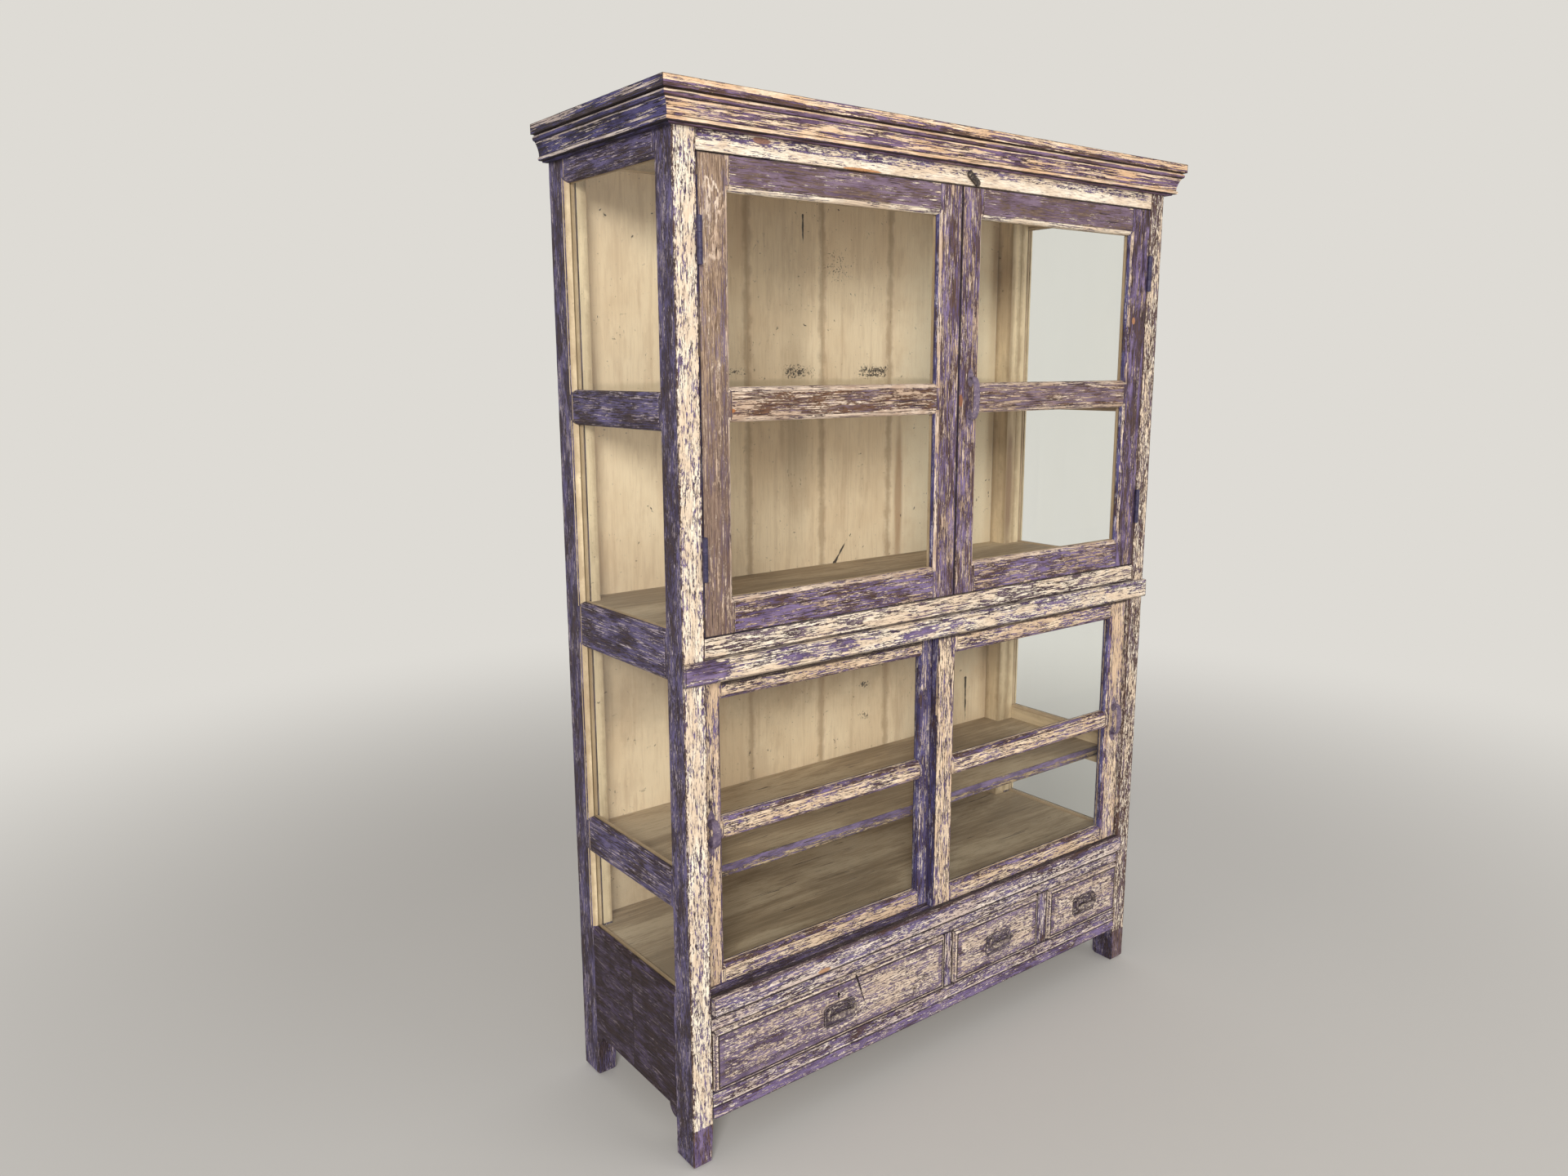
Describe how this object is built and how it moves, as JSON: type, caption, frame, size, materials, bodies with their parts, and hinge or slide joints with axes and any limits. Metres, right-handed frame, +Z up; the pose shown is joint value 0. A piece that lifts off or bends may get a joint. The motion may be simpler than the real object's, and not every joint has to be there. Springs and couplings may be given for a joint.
{
  "type": "glazed display cabinet",
  "caption": "Tall wooden display cabinet with glazed hinged doors above glazed sliding doors, a row of drawers with drop handles, glazed sides and a moulded cornice.",
  "frame": {"origin": "on the floor, under the middle of the cabinet's outline", "axes": "+Z up, +X to the right along the front, +Y from the front towards the back"},
  "size_m": [1.393, 0.474, 1.96],
  "materials": {
    "back_boards": "worn paint",
    "back_posts": "worn paint",
    "bottom_rail": "worn paint",
    "cornice": "worn paint",
    "drawer_1_bail": "worn",
    "drawer_1_box": "bare, aged",
    "drawer_1_front": "worn paint",
    "drawer_1_lock_bolt": "worn",
    "drawer_1_lock_case": "worn",
    "drawer_1_plate": "worn",
    "drawer_2_bail": "worn",
    "drawer_2_box": "bare, aged",
    "drawer_2_front": "worn paint",
    "drawer_2_plate": "worn",
    "drawer_3_bail": "worn",
    "drawer_3_box": "bare, aged",
    "drawer_3_front": "worn paint",
    "drawer_3_plate": "worn",
    "drawer_dividers": "worn paint",
    "drawer_guides": "bare, aged",
    "frieze_rail": "worn paint",
    "front_left_post": "worn paint",
    "front_right_post": "worn paint",
    "hinge_frame_leaves": "worn",
    "hinge_pins": "worn",
    "inner_battens": "worn paint",
    "left_door_glass": "clear",
    "left_door_glazing_beads": "worn paint",
    "left_door_hinge_leaves": "worn",
    "left_door_rails": "worn paint",
    "left_door_stiles": "worn paint",
    "left_slider_glass": "clear",
    "left_slider_pull": "worn",
    "left_slider_rails": "worn paint",
    "left_slider_stiles": "worn paint",
    "lower_floor": "worn paint",
    "lower_shelf": "worn paint",
    "right_door_glass": "clear",
    "right_door_glazing_beads": "worn paint",
    "right_door_hinge_leaves": "worn",
    "right_door_pull": "worn",
    "right_door_rails": "worn paint",
    "right_door_stiles": "worn paint",
    "right_slider_glass": "clear",
    "right_slider_pull": "worn",
    "right_slider_rails": "worn paint",
    "right_slider_stiles": "worn paint",
    "side_glass": "clear",
    "side_glazing_beads": "worn paint",
    "side_panels": "worn paint",
    "side_rails": "worn paint",
    "sill_moulding": "worn paint",
    "sill_rail": "worn paint",
    "top_board": "bare, aged",
    "turn_button": "worn",
    "turn_button_screw": "worn",
    "upper_shelf": "worn paint",
    "waist_floor": "worn paint",
    "waist_moulding": "worn paint",
    "waist_rail": "worn paint"
  },
  "bodies": {
    "carcass": {"back_boards": "back_boards", "back_posts": "back_posts", "bottom_rail": "bottom_rail", "cornice": "cornice", "drawer_dividers": "drawer_dividers", "drawer_guides": "drawer_guides", "frieze_rail": "frieze_rail", "front_left_post": "front_left_post", "front_right_post": "front_right_post", "hinge_frame_leaves": "hinge_frame_leaves", "hinge_pins": "hinge_pins", "inner_battens": "inner_battens", "lower_floor": "lower_floor", "lower_shelf": "lower_shelf", "side_glass": "side_glass", "side_glazing_beads": "side_glazing_beads", "side_panels": "side_panels", "side_rails": "side_rails", "sill_moulding": "sill_moulding", "sill_rail": "sill_rail", "top_board": "top_board", "turn_button_screw": "turn_button_screw", "upper_shelf": "upper_shelf", "waist_floor": "waist_floor", "waist_moulding": "waist_moulding", "waist_rail": "waist_rail"},
    "left_door": {"left_door_glass": "left_door_glass", "left_door_glazing_beads": "left_door_glazing_beads", "left_door_hinge_leaves": "left_door_hinge_leaves", "left_door_rails": "left_door_rails", "left_door_stiles": "left_door_stiles"},
    "left_slider": {"left_slider_glass": "left_slider_glass", "left_slider_pull": "left_slider_pull", "left_slider_rails": "left_slider_rails", "left_slider_stiles": "left_slider_stiles"},
    "right_door": {"right_door_glass": "right_door_glass", "right_door_glazing_beads": "right_door_glazing_beads", "right_door_hinge_leaves": "right_door_hinge_leaves", "right_door_pull": "right_door_pull", "right_door_rails": "right_door_rails", "right_door_stiles": "right_door_stiles"},
    "right_slider": {"right_slider_glass": "right_slider_glass", "right_slider_pull": "right_slider_pull", "right_slider_rails": "right_slider_rails", "right_slider_stiles": "right_slider_stiles"},
    "drawer_1": {"drawer_1_front": "drawer_1_front", "drawer_1_box": "drawer_1_box", "drawer_1_plate": "drawer_1_plate", "drawer_1_lock_case": "drawer_1_lock_case"},
    "drawer_1_bail": {"drawer_1_bail": "drawer_1_bail"},
    "drawer_2": {"drawer_2_front": "drawer_2_front", "drawer_2_box": "drawer_2_box", "drawer_2_plate": "drawer_2_plate"},
    "drawer_2_bail": {"drawer_2_bail": "drawer_2_bail"},
    "drawer_3": {"drawer_3_front": "drawer_3_front", "drawer_3_box": "drawer_3_box", "drawer_3_plate": "drawer_3_plate"},
    "drawer_3_bail": {"drawer_3_bail": "drawer_3_bail"},
    "drawer_1_lock_bolt": {"drawer_1_lock_bolt": "drawer_1_lock_bolt"},
    "turn_button": {"turn_button": "turn_button"}
  },
  "joints": [
    {"name": "left_door_hinge", "type": "hinge", "parent": "carcass", "child": "left_door", "pos_m": [-0.61475, -0.2083, 1.45], "axis": [0, 0, -1], "range_deg": [0, 165]},
    {"name": "right_door_hinge", "type": "hinge", "parent": "carcass", "child": "right_door", "pos_m": [0.61475, -0.2083, 1.45], "axis": [0, 0, 1], "range_deg": [0, 165]},
    {"name": "left_slider_slide", "type": "slide", "parent": "carcass", "child": "left_slider", "axis": [1, 0, 0], "range_m": [0, 0.545]},
    {"name": "right_slider_slide", "type": "slide", "parent": "carcass", "child": "right_slider", "axis": [1, 0, 0], "range_m": [-0.545, 0]},
    {"name": "turn_button_pivot", "type": "hinge", "parent": "carcass", "child": "turn_button", "pos_m": [0.031, -0.207, 1.8725], "axis": [0, -1, 0], "range_deg": [-55, 35]},
    {"name": "drawer_1_lock_bolt_slide", "type": "slide", "parent": "drawer_1", "child": "drawer_1_lock_bolt", "axis": [0, 0, 1], "range_m": [0, 0.008]},
    {"name": "drawer_1_slide", "type": "slide", "parent": "carcass", "child": "drawer_1", "axis": [0, -1, 0], "range_m": [0, 0.27]},
    {"name": "drawer_1_bail_pivot", "type": "hinge", "parent": "drawer_1", "child": "drawer_1_bail", "pos_m": [-0.306, -0.2188, 0.222], "axis": [-1, 0, 0], "range_deg": [0, 110]},
    {"name": "drawer_2_slide", "type": "slide", "parent": "carcass", "child": "drawer_2", "axis": [0, -1, 0], "range_m": [0, 0.27]},
    {"name": "drawer_2_bail_pivot", "type": "hinge", "parent": "drawer_2", "child": "drawer_2_bail", "pos_m": [0.173, -0.2188, 0.222], "axis": [-1, 0, 0], "range_deg": [0, 110]},
    {"name": "drawer_3_slide", "type": "slide", "parent": "carcass", "child": "drawer_3", "axis": [0, -1, 0], "range_m": [0, 0.27]},
    {"name": "drawer_3_bail_pivot", "type": "hinge", "parent": "drawer_3", "child": "drawer_3_bail", "pos_m": [0.483, -0.2188, 0.222], "axis": [-1, 0, 0], "range_deg": [0, 110]}
  ]
}
